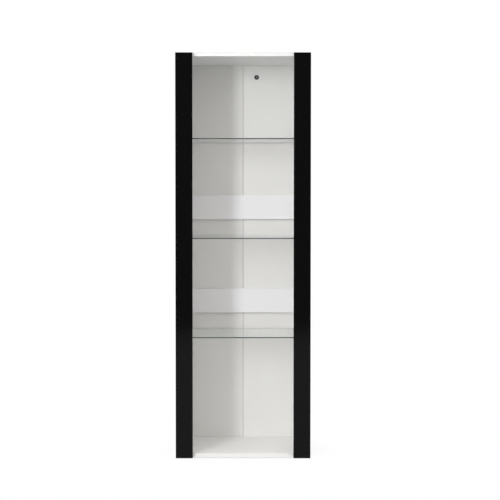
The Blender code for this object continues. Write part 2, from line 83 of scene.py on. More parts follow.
SHANK_RADIUS = 0.0025
SHANK_LENGTH = 0.008
PIN_BORE_RADIUS = 0.0027
PIN_COLLAR_RADIUS = 0.0042
PIN_COLLAR = 0.0018
PIN_NOSE = 0.0007

CAM_DEPTH = 0.0125
CAM_CROSS_LONG = 0.0040
CAM_CROSS_WIDE = 0.0009

TAPE_TEAR = 0.030
TAPE_RAG = 0.0006
NAIL_SPACING = 0.150
NAIL_INSET = 0.0055
NAIL_RADIUS = 0.0016
NAIL_HEAD = 0.0006

GROMMET_HOLE_RADIUS = 0.0078
GROMMET_BORE_RADIUS = 0.0035
GROMMET_FLANGE = 0.0015

CUP_WALL = 0.001
CUP_BEND = 0.0025
CUP_RIM = 0.0006
CUP_FLANGE_HALF_WIDTH = 0.010
CUP_FLANGE_ROUND = 0.006
CUP_SCREW_OFFSET = 0.0245
LUG_START = 0.0078
LUG_END = 0.0125
LUG_HALF_WIDTH = 0.003
LUG_OVER_PIN = 0.005
LUG_ROUND = 0.002
HINGE_PIN_RADIUS = 0.0015
HINGE_PIN_CHAMFER = 0.0003
EYE_RADIUS = 0.0032
EYE_BORE_RADIUS = 0.0017
ARM_HALF_WIDTH = 0.006
ARM_STRIP = 0.0025
ARM_UNDER_PIN = 0.00115
ARM_NECK = 0.013
ARM_SHOULDER = 0.018
ARM_BODY = 0.0074
ARM_SCREW_SETBACKS = (0.010, 0.026)
PLATE_RAIL_HALF_WIDTH = 0.007
PLATE_WING_HALF_WIDTH = 0.008
PLATE_SCREW_LINE = 0.037
PLATE_SCREW_OFFSET = 0.016

# Radius and height of a screw's head, and half the length of its recess
CUP_SCREW = (0.0034, 0.0016, 0.0018)
PLATE_SCREW = (0.0036, 0.0018, 0.0019)
ARM_SCREW = (0.0030, 0.0012, 0.0017)
LATCH_SCREW = (0.0030, 0.0015, 0.0016)

LATCH_HALF_HEIGHT = 0.007
LATCH_EAR_START = 0.014
LATCH_EAR = 0.0025
LATCH_BORE_RADIUS = 0.0033
LATCH_BORE_DEPTH = 0.034
LATCH_SCREW_OFFSET = 0.0130


def linear(code):
    """An sRGB hex colour as linear red, green and blue."""
    parts = [int(code[start : start + 2], 16) / 255 for start in (0, 2, 4)]
    return [part / 12.92 if part <= 0.04045 else ((part + 0.055) / 1.055) ** 2.4 for part in parts]


def length(name, description, default):
    return bpy.props.FloatProperty(
        name=name, description=description, default=default, unit="LENGTH", precision=5
    )


def number(name, description, default):
    return bpy.props.FloatProperty(name=name, description=description, default=default)


def angle(name, description, degrees):
    return bpy.props.FloatProperty(
        name=name, description=description, default=math.radians(degrees), subtype="ANGLE"
    )


def colour(name, description, code):
    return bpy.props.FloatVectorProperty(
        name=name, description=description, default=linear(code), subtype="COLOR", min=0, max=1
    )


class CabinetBoards(bpy.types.PropertyGroup):
    arris: length("Arris", "Rounding of a board's edges", 0.0006)
    # The chamfer on a cross board's rear edge is bare chipboard, painted brown as painted shade that deepens
    # the dark line where the board meets the back
    shade_notch: length("Chipping", "Worn-off corner of a cross board's bare rear edge", 0.0020)
    band: length("Edge band", "Thickness of the plastic strip on a board's front edge", 0.0008)
    melamine: colour("Melamine", "Face of the carcass boards", "EDEDEC")
    rail: colour("Rail", "Face of the cross rails", "E5E5E7")
    edging: colour("Edging", "Plastic strip on the front edges", "E3E3E3")
    core: colour("Core", "Chipboard where an edge is bare", "C3A26F")
    foil: colour("Foil", "Inside of the thin back", "DCDCDA")
    hardboard: colour("Hardboard", "Bare rear face of the thin back", "946E49")
    tape: colour("Tape", "Gummed tape over the back's seam", "B08A5B")
    # The tape's gummed side is painted a dull grey as painted shade, so the seam between the back's halves
    # reads as a shaded gap
    gum_and_seam_shade: colour("Gum", "Gummed side of the tape, seen through the seam", "5F5F5E")


class CabinetDoor(bpy.types.PropertyGroup):
    arris: length("Arris", "Rounding of the stiles' edges", 0.0010)
    swing: length("Swing rounding", "Rounding of the rear outer edge, which turns past the side", 0.0040)
    lacquer: colour("Lacquer", "High gloss black of the stiles", "09090A")
    seal: colour("Seal", "Rubber channel round the pane's edges", "101011")


class CabinetGlass(bpy.types.PropertyGroup):
    arris: length("Arris", "Ground rounding of the glass edges", 0.0006)
    corner: length("Corner", "Radius of a shelf's corners", 0.0030)
    tint: colour("Tint", "Colour that the pane gives to what is behind it", "FEFEFE")
    shelf_tint: colour("Shelf tint", "Colour that the shelves give to what is behind them", "F4FAF8")
    edge: colour("Edge", "Ground edge, seen along the glass", "1F2D29")


class CabinetHardware(bpy.types.PropertyGroup):
    nickel: colour("Nickel", "Plating of the hinges and shelf pins", "CFCBC3")
    zinc: colour("Zinc", "Plating of the screws", "C2C6CB")
    cast: colour("Die casting", "Cam locks", "A9ABAD")
    grey: colour("Grey plastic", "Latch and glides", "76777A")
    black: colour("Black plastic", "Cable grommet", "030303")
    tip: colour("Tip", "Rubber tip of the latch", "3A3A3C")
    bumper: colour("Bumper", "Clear soft pads", "DDDEDA")
    cam_radius: length("Cam radius", "Radius of the cam locks", 0.0075)
    cam_inset: length("Cam inset", "From the board's end to the middle of a cam lock", 0.034)
    cam_end: length("Cam end distance", "From the front or rear edge to the middle of a cam lock", 0.050)


class CabinetStudio(bpy.types.PropertyGroup):
    paper: colour("Paper", "Floor of the studio", "F4F4F4")
    key: bpy.props.FloatProperty(name="Key", description="Power of the soft box", default=101, unit="POWER")
    key_azimuth: angle("Key azimuth", "To the left of the front", 29.2)
    key_height: angle("Key elevation", "Above the middle of the door", 13)
    key_distance: length("Key distance", "From the middle of the door", 4.6)
    key_width: length("Key width", "Width of the soft box", 0.62)
    key_tall: length("Key length", "Height of the soft box", 1.60)
    fill: number("Fill", "Light from in front", 1.25)
    wrap: number("Wrap", "Light from the sides and from behind", 0.74)
    bounce: number("Bounce", "Light that the floor sends up", 0.5)
    lens: length("Lens", "Focal length in metres", 0.08578)
    eye: length("Eye", "Height of the camera", 1.152)
    distance: length("Distance", "From the carcass's front edge to the camera", 5.28)
    sideways: number("Sideways shift", "Share of the frame's width", 0.0138)
    downward: number("Downward shift", "Share of the frame's width", 0.0274)
    tilt: angle("Tilt", "How far the camera looks down", 1.77)


# Modelling ---------------------------------------------------------------------------------------


def centred(node):
    """The two corners of a solid's box, and its middle."""
    low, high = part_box(node)
    return low, high, (low + high) / 2


def only(obj):
    """Leaves one piece selected and active."""
    bpy.ops.object.select_all(action="DESELECT")
    obj.select_set(True)
    bpy.context.view_layer.objects.active = obj
    return obj


def choose(obj, kind, test):
    """Opens a piece in edit mode with only those faces, edges or points selected that pass a test."""
    only(obj)
    bpy.ops.object.mode_set(mode="EDIT")
    bpy.ops.mesh.select_mode(type=kind)
    bpy.ops.mesh.select_all(action="DESELECT")
    mesh = bmesh.from_edit_mesh(obj.data)
    for item in {"FACE": mesh.faces, "EDGE": mesh.edges, "VERT": mesh.verts}[kind]:
        if test(item):
            item.select_set(True)
    bmesh.update_edit_mesh(obj.data)


def leave():
    bpy.ops.object.mode_set(mode="OBJECT")


def ease(obj, width, test=lambda edge: True, segments=2):
    """Rounds the chosen edges of a piece."""
    choose(obj, "EDGE", test)
    bpy.ops.mesh.bevel(offset=width, segments=segments, affect="EDGES")
    leave()
    return obj


def along(axis):
    """A test for edges that run along an axis."""

    def runs(edge):
        line = edge.verts[1].co - edge.verts[0].co
        return abs(line.normalized().dot(axis)) > 0.99

    return runs


def start_box(low, high):
    """A box between two corners, with its place in its mesh."""
    low, high = Vector(low), Vector(high)
    bpy.ops.object.select_all(action="DESELECT")
    bpy.ops.mesh.primitive_cube_add(size=1, location=(low + high) / 2, scale=high - low)
    bpy.ops.object.transform_apply(location=True, rotation=True, scale=True)
    return bpy.context.object


def start_line(points):
    """Points joined by edges, drawn one from another, left in edit mode with all selected."""
    bpy.ops.object.select_all(action="DESELECT")
    bpy.ops.mesh.primitive_plane_add(size=0.001, location=points[0])
    bpy.ops.object.transform_apply(location=True, rotation=True, scale=True)
    bpy.ops.object.mode_set(mode="EDIT")
    bpy.ops.mesh.select_mode(type="VERT")
    bpy.ops.mesh.select_all(action="SELECT")
    bpy.ops.mesh.merge(type="CENTER")
    for here, there in zip(points, points[1:]):
        bpy.ops.mesh.extrude_region_move(TRANSFORM_OT_translate={"value": there - here})
    bpy.ops.mesh.select_all(action="SELECT")
    return bpy.context.object


def heal():
    """Merges doubled points and turns all faces outwards, then leaves edit mode."""
    bpy.ops.mesh.select_all(action="SELECT")
    bpy.ops.mesh.remove_doubles(threshold=1e-6)
    bpy.ops.mesh.normals_make_consistent(inside=False)
    leave()


def draw(outline, across, up, depth, start):
    """An outline in two directions from a starting point, filled and drawn out by a depth."""
    obj = start_line([start + across * x + up * y for x, y in outline])
    bpy.ops.mesh.edge_face_add()
    bpy.ops.mesh.extrude_region_move(TRANSFORM_OT_translate={"value": depth})
    heal()
    return obj


def turn(profile, centre, axis, steps=40, ring=False):
    """Radii and distances along an axis, spun round it. A ring's profile is closed."""
    centre = Vector(centre)
    outward = axis.orthogonal().normalized()
    points = [centre + outward * radius + axis * distance for radius, distance in profile]
    if ring:
        points.append(points[0])
    obj = start_line(points)
    bpy.ops.mesh.spin(steps=steps, angle=math.tau, center=centre, axis=axis)
    heal()
    return obj


def rod(centre, axis, radius, start, end, steps=64):
    """A plain rod along an axis between two distances from its centre, to cut or trim with."""
    return turn(((0, start), (radius, start), (radius, end), (0, end)), centre, axis, steps)


def carve(obj, *others, operation="DIFFERENCE"):
    """Cuts other pieces out of one, or joins them to it. The others are used up."""
    for other in others:
        only(obj)
        modifier = obj.modifiers.new("carve", "BOOLEAN")
        modifier.operation = operation
        modifier.object = other
        bpy.ops.object.modifier_apply(modifier=modifier.name)
        bpy.data.objects.remove(other)
    return obj


def gather(pieces):
    """Several pieces as one."""
    bpy.ops.object.select_all(action="DESELECT")
    for piece in pieces:
        piece.select_set(True)
    bpy.context.view_layer.objects.active = pieces[0]
    bpy.ops.object.join()
    return pieces[0]


def copied(obj, offset):
    """A copy with its own mesh, at an offset."""
    copy = obj.copy()
    copy.data = obj.data.copy()
    bpy.context.scene.collection.objects.link(copy)
    copy.data.transform(Matrix.Translation(offset))
    return copy


def arc(middle, radius, start, end, steps=6):
    """Points from one angle to another in degrees, round a middle."""
    turns = [math.radians(value) for value in spread(start, end, steps)]
    return [(middle[0] + radius * math.cos(value), middle[1] + radius * math.sin(value)) for value in turns]


def spread(start, end, spaces):
    """Evenly spaced values from a start to an end."""
    return [start + (end - start) * step / spaces for step in range(spaces + 1)]


def rounded(low, high, radius):
    """A rectangle's outline with round corners, anticlockwise."""
    (left, foot), (right, head) = low, high
    outline = arc((left + radius, foot + radius), radius, 180, 270)
    outline += arc((right - radius, foot + radius), radius, 270, 360)
    outline += arc((right - radius, head - radius), radius, 0, 90)
    return outline + arc((left + radius, head - radius), radius, 90, 180)


def done(obj, name, body, materials, replaces=(), smooth=35):
    """Names a piece and gives it its body, its finish and the solids that it stands for."""
    only(obj)
    bpy.ops.object.shade_smooth_by_angle(angle=math.radians(smooth))
    modifier = obj.modifiers.new("flats", "WEIGHTED_NORMAL")
    modifier.keep_sharp = True
    modifier.weight = 100
    bpy.ops.object.modifier_apply(modifier=modifier.name)
    obj.name = name
    obj.data.name = name
    for material in materials:
        obj.data.materials.append(material)
    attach(obj, body)
    if replaces:
        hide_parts(*replaces)
    return obj


def paint(obj, index, test):
    """Gives a material to the faces that pass a test of their middle and normal."""
    for face in obj.data.polygons:
        if test(face.center, face.normal):
            face.material_index = index


def finish_node(node, material):
    """Gives a solid that stays in view its material."""
    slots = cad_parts[node].material_slots
    for slot in slots:
        slot.material = material
    if not slots:
        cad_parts[node].data.materials.append(material)


# Materials ---------------------------------------------------------------------------------------


def add(tree, kind, inputs=None, **settings):
    """Adds a node with its settings. An input given as a socket is linked, and any other is set."""
    node = tree.nodes.new("ShaderNode" + kind)
    for name, value in settings.items():
        setattr(node, name, value)
    for name, value in (inputs or {}).items():
        socket = node.inputs[name]
        if isinstance(value, bpy.types.NodeSocket):
            tree.links.new(value, socket)
        else:
            socket.default_value = value
    return node


# The colour sockets of a Mix node, which share their names with its other kinds
MIX_A, MIX_B, MIX_RESULT = 6, 7, 2


def start_material(name, base, roughness, metallic=0.0):
    material = bpy.data.materials.new(name)
    material.use_nodes = True
    shader = material.node_tree.nodes["Principled BSDF"]
    shader.inputs["Base Color"].default_value = (*base, 1)
    shader.inputs["Roughness"].default_value = roughness
    shader.inputs["Metallic"].default_value = metallic
    return material, material.node_tree, shader


def pattern(tree, size, detail=3, stretch=(1, 1, 1)):
    """Noise with features of a size in metres, stretched along some axes."""
    place = add(tree, "TexCoord").outputs["Object"]
    place = add(tree, "Mapping", {"Vector": place, "Scale": [1 / (size * part) for part in stretch]})
    inputs = {"Vector": place.outputs["Vector"], "Scale": 1, "Detail": detail}
    return add(tree, "TexNoise", inputs).outputs["Fac"]


def span(tree, value, low, high, begin=0.3, end=0.7):
    """A pattern's values spread between two others."""
    inputs = {"Value": value, "From Min": begin, "From Max": end, "To Min": low, "To Max": high}
    return add(tree, "MapRange", inputs).outputs["Result"]


def blend(tree, factor, first, second):
    """A colour between two, by a factor."""
    inputs = {0: factor, MIX_A: (*first, 1), MIX_B: (*second, 1)}
    return add(tree, "Mix", inputs, data_type="RGBA").outputs[MIX_RESULT]


def shade(tone, share):
    return [part * share for part in tone]


def relief(tree, shader, height, distance, strength=1.0):
    """Gives a shader a bump from a height, whose full range is a distance in metres."""
    bump = add(tree, "Bump", {"Height": height, "Distance": distance, "Strength": strength})
    tree.links.new(bump.outputs["Normal"], shader.inputs["Normal"])


def grained(name, base, roughness, grain, depth, drift=0.97, metallic=0.0, stretch=(1, 1, 1)):
    """A solid finish with a fine surface grain, a slow drift of its colour and a little change of gloss."""
    material, tree, shader = start_material(name, base, roughness, metallic)
    fine = pattern(tree, grain, stretch=stretch)
    slow = pattern(tree, 0.12, detail=2)
    tree.links.new(blend(tree, span(tree, slow, 0, 1), base, shade(base, drift)), shader.inputs["Base Color"])
    rough = span(tree, fine, roughness - 0.05, roughness + 0.05)
    tree.links.new(rough, shader.inputs["Roughness"])
    relief(tree, shader, fine, depth)
    return material


def melamine(name, base):
    # Melamine-faced chipboard: a hard satin white skin with the press plate's fine pearl, drawn at 1.6 mm.
    return grained(name, base, 0.42, 0.0016, 0.00003, drift=0.985)


def edging(boards):
    # ABS edge band: smoother and a little brighter than the faces, with a slight extrusion grain along it.
    return grained("white_abs_edging", boards.edging, 0.33, 0.0012, 0.00002, drift=0.99, stretch=(1, 1, 12))


def foil(boards):
    # Paper foil on hardboard: matt white with a faint weave of long horizontal marks, drawn at 2 mm.
    return grained("white_paper_foil", boards.foil, 0.5, 0.0020, 0.00003, drift=0.98, stretch=(9, 1, 1))


def chipboard(boards):
    # Sawn chipboard: pale and dark flakes about 3 mm long, with pits between them.
    material, tree, shader = start_material("sawn_chipboard", boards.core, 0.85)
    place = add(tree, "TexCoord").outputs["Object"]
    place = add(tree, "Mapping", {"Vector": place, "Scale": (330, 330, 650)}).outputs["Vector"]
    flakes = add(tree, "TexVoronoi", {"Vector": place, "Scale": 1, "Randomness": 1})
    tone = add(tree, "SeparateColor", {"Color": flakes.outputs["Color"]}).outputs["Red"]
    base = blend(tree, tone, shade(boards.core, 0.55), shade(boards.core, 1.25))
    tree.links.new(base, shader.inputs["Base Color"])
    relief(tree, shader, flakes.outputs["Distance"], 0.0003)
    return material


def hardboard(boards):
    # Bare hardboard: brown pressed fibre with the crossed print of its wire screen, drawn at 3 mm.
    material, tree, shader = start_material("bare_hardboard", boards.hardboard, 0.8)
    fibre = pattern(tree, 0.004, detail=6, stretch=(2, 1, 1))
    cloud = pattern(tree, 0.09, detail=3)
    base = blend(tree, span(tree, fibre, 0, 1), shade(boards.hardboard, 0.78), shade(boards.hardboard, 1.15))
    darker = add(tree, "Mix", {MIX_A: base, MIX_B: (*shade(boards.hardboard, 0.8), 1)}, data_type="RGBA")
    tree.links.new(span(tree, cloud, 0, 0.6), darker.inputs[0])
    tree.links.new(darker.outputs[MIX_RESULT], shader.inputs["Base Color"])
    place = add(tree, "TexCoord").outputs["Object"]
    turned = {"Vector": place, "Rotation": (0, math.radians(45), 0)}
    place = add(tree, "Mapping", turned).outputs["Vector"]
    wires = [
        add(tree, "TexWave", {"Vector": place, "Scale": 105, "Distortion": 0.4}, bands_direction=way)
        for way in ("X", "Z")
    ]
    screen = add(tree, "Math", {0: wires[0].outputs["Fac"], 1: wires[1].outputs["Fac"]}, operation="MAXIMUM")
    relief(tree, shader, screen.outputs["Value"], 0.00025)
    return material


def kraft(boards):
    # Gummed kraft tape: matt brown paper with long pale fibres along its length.
    return grained("gummed_kraft_tape", boards.tape, 0.75, 0.0012, 0.0001, drift=0.85, stretch=(1, 1, 14))


def lacquer(door):
    # Polished black lacquer: near mirror, with a faint orange peel of about 6 mm and hairline wiping marks.
    material, tree, shader = start_material("black_gloss_lacquer", door.lacquer, 0.06)
    shader.inputs["IOR"].default_value = 1.5
    peel = pattern(tree, 0.006, detail=1)
    wipe = pattern(tree, 0.0012, detail=4, stretch=(1, 1, 60))
    tree.links.new(span(tree, wipe, 0.045, 0.10), shader.inputs["Roughness"])
    dust = blend(tree, span(tree, wipe, 0, 1, begin=0.55, end=0.9), door.lacquer, shade(door.lacquer, 1.5))
    tree.links.new(dust, shader.inputs["Base Color"])
    relief(tree, shader, peel, 0.000012)
    return material


def by_ray(tree, surface, layers):
    """Puts other shaders before a surface for kinds of ray. The last layer counts most."""
    rays = add(tree, "LightPath").outputs
    for kind, shader in layers:
        surface = add(tree, "MixShader", {0: rays[f"Is {kind} Ray"], 1: surface, 2: shader}).outputs["Shader"]
    return surface


def see_through(name, tint, soft, shadow):
    """Clear glass that lets soft light and lamps through by given colours, as thin glass does."""
    material, tree, shader = start_material(name, tint, 0.0)
    shader.inputs["Transmission Weight"].default_value = 1
    shader.inputs["IOR"].default_value = 1.5
    openings = [
        (kind, add(tree, "BsdfTransparent", {"Color": (*passed, 1)}).outputs["BSDF"])
        for kind, passed in (("Diffuse", soft), ("Shadow", shadow))
    ]
    surface = by_ray(tree, shader.outputs["BSDF"], openings)
    tree.links.new(surface, tree.nodes["Material Output"].inputs["Surface"])
    return material


def ground_edge(glass):
    # Ground float glass edge: the light that runs along the pane comes out here as a dark grey green.
    return grained("ground_glass_edge", glass.edge, 0.22, 0.0015, 0.00002, drift=0.9, stretch=(10, 10, 1))


def nickel(hardware):
    # Nickel on pressed steel: a warm grey metal with soft drawn marks from the press.
    return grained("nickel_plated_steel", hardware.nickel, 0.27, 0.0009, 0.00001, 0.95, 1.0, (1, 8, 1))


def zinc(hardware):
    # Zinc-plated screw steel: cooler and a little duller than the nickel.
    return grained("zinc_plated_steel", hardware.zinc, 0.36, 0.0008, 0.00001, drift=0.92, metallic=1.0)


def casting(hardware):
    # Die-cast zinc: dull grey metal with a slightly pitted skin.
    return grained("die_cast_zinc", hardware.cast, 0.48, 0.0007, 0.00003, drift=0.9, metallic=1.0)


def moulded(name, base, roughness=0.5):
    # Moulded plastic with the fine spark texture of its tool, drawn at 0.9 mm.
    return grained(name, base, roughness, 0.0009, 0.00002, drift=0.95)


def rubber(name, base, roughness=0.68):
    # Extruded rubber: matt, with a soft bloom of lighter patches.
    return grained(name, base, roughness, 0.0014, 0.00002, drift=1.25)


def soft_clear(hardware):
    # Cast polyurethane: cloudy clear, soft-edged and slightly tacky, so its gloss is low.
    material, tree, shader = start_material("clear_polyurethane", hardware.bumper, 0.3)
    shader.inputs["Transmission Weight"].default_value = 0.6
    shader.inputs["IOR"].default_value = 1.49
    relief(tree, shader, pattern(tree, 0.002), 0.00003)
    return material


# Carcass -----------------------------------------------------------------------------------------


def cam_places(low, high, hardware):
    """The middles of a cross board's four cam locks, in X and Y."""
    return [
        (x, y)
        for x in (low.x + hardware.cam_inset, high.x - hardware.cam_inset)
        for y in (low.y + hardware.cam_end, high.y - hardware.cam_end)
    ]


def band_board(name, node, materials, boards, bores=()):
    """A carcass board with a plastic strip on its front edge and bare chipboard on its rear edge."""
    low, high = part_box(node)
    core_low = Vector((low.x, low.y + boards.band, low.z))
    core = start_box(core_low, high)
    if node.startswith("side"):
        ease(core, boards.arris / 2, along(Y))
    else:
        # Cross boards get a chamfer along their rear edges; its face is painted bare chipboard as painted
        # shade in the joint with the back
        rear = high.y - boards.arris
        ease(core, boards.shade_notch, lambda edge: along(X)(edge) and edge.verts[0].co.y > rear, segments=1)
    carve(core, *bores)
    board, strip, bare = materials
    done(core, name, "carcass", (board, bare, strip), (node,))
    # Rear edge in bare chipboard, as the real board has; on the chamfer the brown is also painted shade for
    # the joint line
    paint(core, 1, lambda middle, normal: normal.y > 0.5 and middle.y > high.y - boards.shade_notch)
    band_high = Vector((high.x, low.y + boards.band, high.z))
    band = start_box(low, band_high)
    front = low.y + boards.arris / 2
    ease(band, boards.arris / 2, lambda edge: min(vert.co.y for vert in edge.verts) < front)
    done(band, name + "_edge_band", "carcass", (strip,))
    return core


def make_carcass(boards, hardware):
    finishes = (melamine("white_melamine", boards.melamine), edging(boards), chipboard(boards))
    for side in ("left", "right"):
        node = "side_panel_" + side
        low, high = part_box(node)
        bores = []
        for shelf in SHELVES:
            for end in ("front", "rear"):
                pin_high, middle = centred(f"shelf_pin_{shelf}_{end}_{side}")[1:]
                middle.z = pin_high.z - SHANK_RADIUS
                middle.x = low.x if side == "right" else high.x
                reach = SHANK_LENGTH + PLAY
                bores.append(rod(middle, X, PIN_BORE_RADIUS, -reach, reach, 24))
        piece = band_board(side + "_side_board", node, finishes, boards, bores)
        paint(piece, 1, lambda middle, normal: normal.z < -0.9 and middle.z < low.z + boards.arris)
        paint(piece, 2, lambda middle, normal: normal.z > 0.9 and middle.z > high.z - boards.arris)
    for name, node, face, way in (
        ("top_board", "top_panel", 1, -1),
        ("bottom_board", "bottom_panel", 0, 1),
    ):
        low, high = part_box(node)
        z = high.z if face else low.z
        bores = [
            rod((x, y, z), Z, hardware.cam_radius, -CAM_DEPTH, CAM_DEPTH, 32)
            for x, y in cam_places(low, high, hardware)
        ]
        band_board(name, node, finishes, boards, bores)
        make_cams(name, low, high, z, way, hardware)
    rail_face = melamine("white_melamine_rail", boards.rail)
    for name in ("lower", "upper"):
        node = "cross_rail_" + name
        low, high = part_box(node)
        rail = ease(start_box(low, high), boards.arris, along(X))
        done(rail, name + "_cross_rail", "carcass", (rail_face, *finishes[1:]), (node,))
        paint(rail, 1, lambda middle, normal: abs(normal.z) > 0.3)
        paint(rail, 2, lambda middle, normal: abs(normal.x) > 0.9)


def cross_slot(centre, axis, reach, half_long, half_wide):
    """A cross-shaped cutter for a screwdriver's recess, as two boxes."""
    side = axis.orthogonal().normalized()
    other = axis.cross(side)
    cutters = []
    for first, second in ((side, other), (other, side)):
        corner = first * half_long + second * half_wide + axis * reach
        corner = Vector([abs(part) for part in corner])
        cutters.append(start_box(Vector(centre) - corner, Vector(centre) + corner))
    return cutters


def make_cams(name, low, high, z, way, hardware):
    """Cam locks just under a board's outer face: round bodies with a rim and a cross recess."""
    metal = casting(hardware)
    radius = hardware.cam_radius - PLAY
    outward = Z * -way
    places = cam_places(low, high, hardware)
    x, y = places[0]
    top = -PLAY
    profile = (
        (0, PLAY - CAM_DEPTH),
        (radius, PLAY - CAM_DEPTH),
        (radius, top - 0.0004),
        (radius - 0.0004, top),
        (radius - 0.0014, top),
        (radius - 0.0018, top - 0.0006),
        (0, top - 0.0006),
    )
    cam = turn(profile, (x, y, z), outward)
    carve(cam, *cross_slot((x, y, z), outward, 0.003, CAM_CROSS_LONG, CAM_CROSS_WIDE))
    copies = [copied(cam, (there_x - x, there_y - y, 0)) for there_x, there_y in places[1:]]
    for number, piece in enumerate([cam] + copies, start=1):
        done(piece, f"{name}_cam_lock_{number}", "carcass", (metal,))


class CABINET_OT_carcass(bpy.types.Operator):
    """Side, top and bottom boards with edge bands and cam locks, and the two cross rails"""

    bl_idname = "cabinet.carcass"
    bl_label = "Carcass boards"

    def execute(self, context):
        make_carcass(context.scene.cabinet_boards, context.scene.cabinet_hardware)
        return {"FINISHED"}


class CABINET_OT_back(bpy.types.Operator):
    """Two halves of the thin back, the tape over their seam, and the nails round the edge"""

    bl_idname = "cabinet.back"
    bl_label = "Back"

    def execute(self, context):
        boards = context.scene.cabinet_boards
        white, brown = foil(boards), hardboard(boards)
        middle = centred("cable_grommet")[2]
        for side in ("left", "right"):
            node = "back_panel_" + side
            low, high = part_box(node)
            panel = ease(start_box(low, high), 0.0003, along(Z), segments=1)
            if side == "right":
                reach = high.y - low.y
                carve(panel, rod((middle.x, high.y, middle.z), Y, GROMMET_HOLE_RADIUS, -reach, reach, 40))
            done(panel, side + "_back_half", "carcass", (brown, white), (node,))
            paint(panel, 1, lambda middle, normal: normal.y < -0.9)
        self.tape(boards)
        self.nails(context.scene.cabinet_hardware)
        return {"FINISHED"}

    def tape(self, boards):
        """Gummed tape with slightly torn edges, brown outside; its gummed side is painted dull grey as
        painted shade, seen through the back's seam.
        """
        low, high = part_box("back_seam_tape")
        rows = int((high.z - low.z) / TAPE_TEAR)
        edge = [
            (high.x - TAPE_RAG * (0.5 + 0.5 * math.sin(row * 2.4)), low.z + (high.z - low.z) * row / rows)
            for row in range(rows + 1)
        ]
        other = [(low.x + TAPE_RAG * (0.5 + 0.5 * math.sin(row * 1.9)), z) for row, (_, z) in enumerate(edge)]
        piece = draw(edge + other[::-1], X, Z, Y * (high.y - low.y), Y * low.y)
        # The gummed side facing the cabinet is painted dull grey: painted shade inside the seam's gap
        materials = (kraft(boards), rubber("dried_gum_and_seam_shade", boards.gum_and_seam_shade))
        done(piece, "gummed_seam_tape", "carcass", materials, ("back_seam_tape",))
        paint(piece, 1, lambda middle, normal: normal.y < -0.9)

    def nails(self, hardware):
        """Round nail heads along the back's outer edges and along the cross rails."""
        low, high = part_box("back_panel_left")
        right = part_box("back_panel_right")[1]
        profile = [(0, 0), (NAIL_RADIUS, 0), (NAIL_RADIUS, NAIL_HEAD / 2)]
        profile += [(NAIL_RADIUS / 2, NAIL_HEAD), (0, NAIL_HEAD)]
        heights = spread(low.z + NAIL_INSET, high.z - NAIL_INSET, int((high.z - low.z) / NAIL_SPACING))
        columns = spread(low.x + NAIL_INSET, right.x - NAIL_INSET, 5)
        places = [(x, z) for z in heights for x in (columns[0], columns[-1])]
        columns = columns[1:-1]
        places += [(x, z) for x in columns for z in (heights[0], heights[-1])]
        for rail in ("lower", "upper"):
            rail_low, rail_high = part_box("cross_rail_" + rail)
            places += [(x, (rail_low.z + rail_high.z) / 2) for x in columns]
        first = places[0]
        nail = turn(profile, (first[0], high.y, first[1]), Y, 16)
        nails = [nail] + [copied(nail, (x - first[0], 0, z - first[1])) for x, z in places[1:]]
        done(gather(nails), "back_nail_heads", "carcass", (zinc(hardware),))


class CABINET_OT_grommet(bpy.types.Operator):
    """Cable grommet in the right half of the back"""

    bl_idname = "cabinet.grommet"
    bl_label = "Cable grommet"

    def execute(self, context):
        low, high, middle = centred("cable_grommet")
        outer = (high.x - low.x) / 2
        depth = high.y - low.y
        hub = GROMMET_HOLE_RADIUS - PLAY
        lip = arc((outer - 0.0006, GROMMET_FLANGE - 0.0006), 0.0006, 0, 90, 4)
        mouth = arc((GROMMET_BORE_RADIUS + 0.0009, GROMMET_FLANGE - 0.0009), 0.0009, 90, 180, 5)
        back = depth - GROMMET_FLANGE
        profile = [(hub, 0), (outer, 0)] + lip + mouth + [(GROMMET_BORE_RADIUS, -back), (hub, -back)]
        piece = turn(profile, (middle.x, low.y + GROMMET_FLANGE, middle.z), -Y, 48, ring=True)
        material = moulded("black_moulded_grommet", context.scene.cabinet_hardware.black, 0.7)
        material.node_tree.nodes["Principled BSDF"].inputs["Specular IOR Level"].default_value = 0.15
        done(piece, "cable_outlet_grommet", "carcass", (material,), ("cable_grommet",))
        return {"FINISHED"}


class CABINET_OT_glides(bpy.types.Operator):
    """Nailed plastic glides under the sides"""

    bl_idname = "cabinet.glides"
    bl_label = "Floor glides"

    def execute(self, context):
        hardware = context.scene.cabinet_hardware
        low, high, centre = centred("floor_glide_front_left")
        centre.z = 0
        radius = (high.x - low.x) / 2
        top = high.z
        profile = [(0, 0.0012), (0.0022, 0.0012), (0.0026, 0.0003), (0.0032, 0)]
        profile += arc((radius - 0.0012, 0.0012), 0.0012, 270, 360, 5)
        profile += [(radius, top - 0.0004), (radius - 0.0004, top), (0, top)]
        first = turn(profile, centre, Z)
        material = moulded("grey_polyethylene_glide", hardware.grey, 0.55)
        copies = {}
        for end, side in CORNERS[1:]:
            node = f"floor_glide_{end}_{side}"
            copies[node] = copied(first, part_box(node)[0] - low)
        for node, piece in {"floor_glide_front_left": first, **copies}.items():
            done(piece, "nailed_" + node, "carcass", (material,), (node,))
        return {"FINISHED"}


# Shelves -----------------------------------------------------------------------------------------


class CABINET_OT_shelves(bpy.types.Operator):
    """Glass shelves with ground edges and round corners"""

    bl_idname = "cabinet.shelves"
    bl_label = "Glass shelves"

    def execute(self, context):
        glass = context.scene.cabinet_glass
        # Float glass: colourless face on, with a breath of green where it is crossed at a slant.
        clear = see_through("clear_float_glass_shelf", glass.shelf_tint, (0.97,) * 3, (0.72,) * 3)
        edge = ground_edge(glass)
        for shelf in SHELVES:
            node = "glass_shelf_" + shelf
            low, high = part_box(node)
            piece = ease(start_box(low, high), glass.corner, along(Z), segments=5)
            ease(piece, glass.arris, lambda line: abs((line.verts[0].co - line.verts[1].co).z) < 1e-6)
            done(piece, shelf + "_glass_shelf", "carcass", (clear, edge), (node,))
            paint(piece, 1, lambda middle, normal: abs(normal.z) < 0.9)
        return {"FINISHED"}


